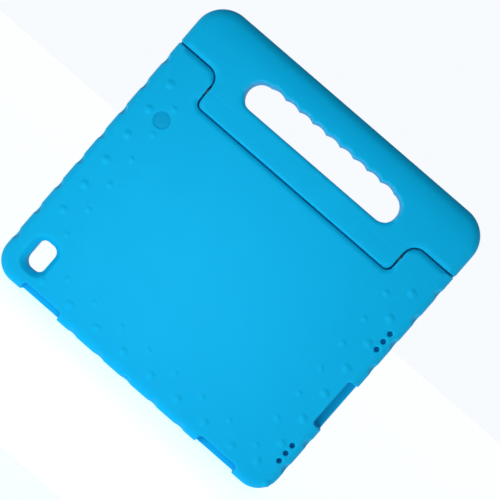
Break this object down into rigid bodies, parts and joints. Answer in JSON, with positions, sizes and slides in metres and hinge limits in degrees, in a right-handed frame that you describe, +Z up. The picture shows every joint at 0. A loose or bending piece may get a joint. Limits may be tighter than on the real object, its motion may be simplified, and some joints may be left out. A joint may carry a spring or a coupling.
{
  "type": "tablet case",
  "caption": "Foam tablet case with a carry handle that pivots back into a stand, camera hole, wall slots and raised dots.",
  "frame": {"origin": "middle of the bottom edge, half way through the thickness", "axes": "+X along the hinge, -Y out of the screen side, +Y out of the back, +Z up towards the handle"},
  "size_m": [0.27, 0.027, 0.2644],
  "materials": {
    "foam": "soft satin closed-cell foam",
    "core_plastic": "moulded, fine texture",
    "bush_plastic": "moulded, natural",
    "washer_plastic": "smooth",
    "pin_steel": "turned",
    "spring_steel": "blued spring steel"
  },
  "bodies": {
    "case": {"case_shell": "foam", "ear_bush_left": "bush_plastic", "ear_bush_right": "bush_plastic", "bush_cap_left": "bush_plastic", "bush_cap_right": "bush_plastic"},
    "carry_handle": {"handle": "foam", "handle_core": "core_plastic", "hinge_pin_left": "pin_steel", "hinge_pin_right": "pin_steel", "friction_washer_left": "washer_plastic", "friction_washer_right": "washer_plastic", "spring_washer_left": "spring_steel", "spring_washer_right": "spring_steel", "retaining_ring_left": "spring_steel", "retaining_ring_right": "spring_steel"}
  },
  "joints": [
    {"name": "handle_fold", "type": "hinge", "parent": "case", "child": "carry_handle", "pos_m": [0, 0.0065, 0.20475], "axis": [-1, 0, 0], "range_deg": [0, 100]}
  ]
}
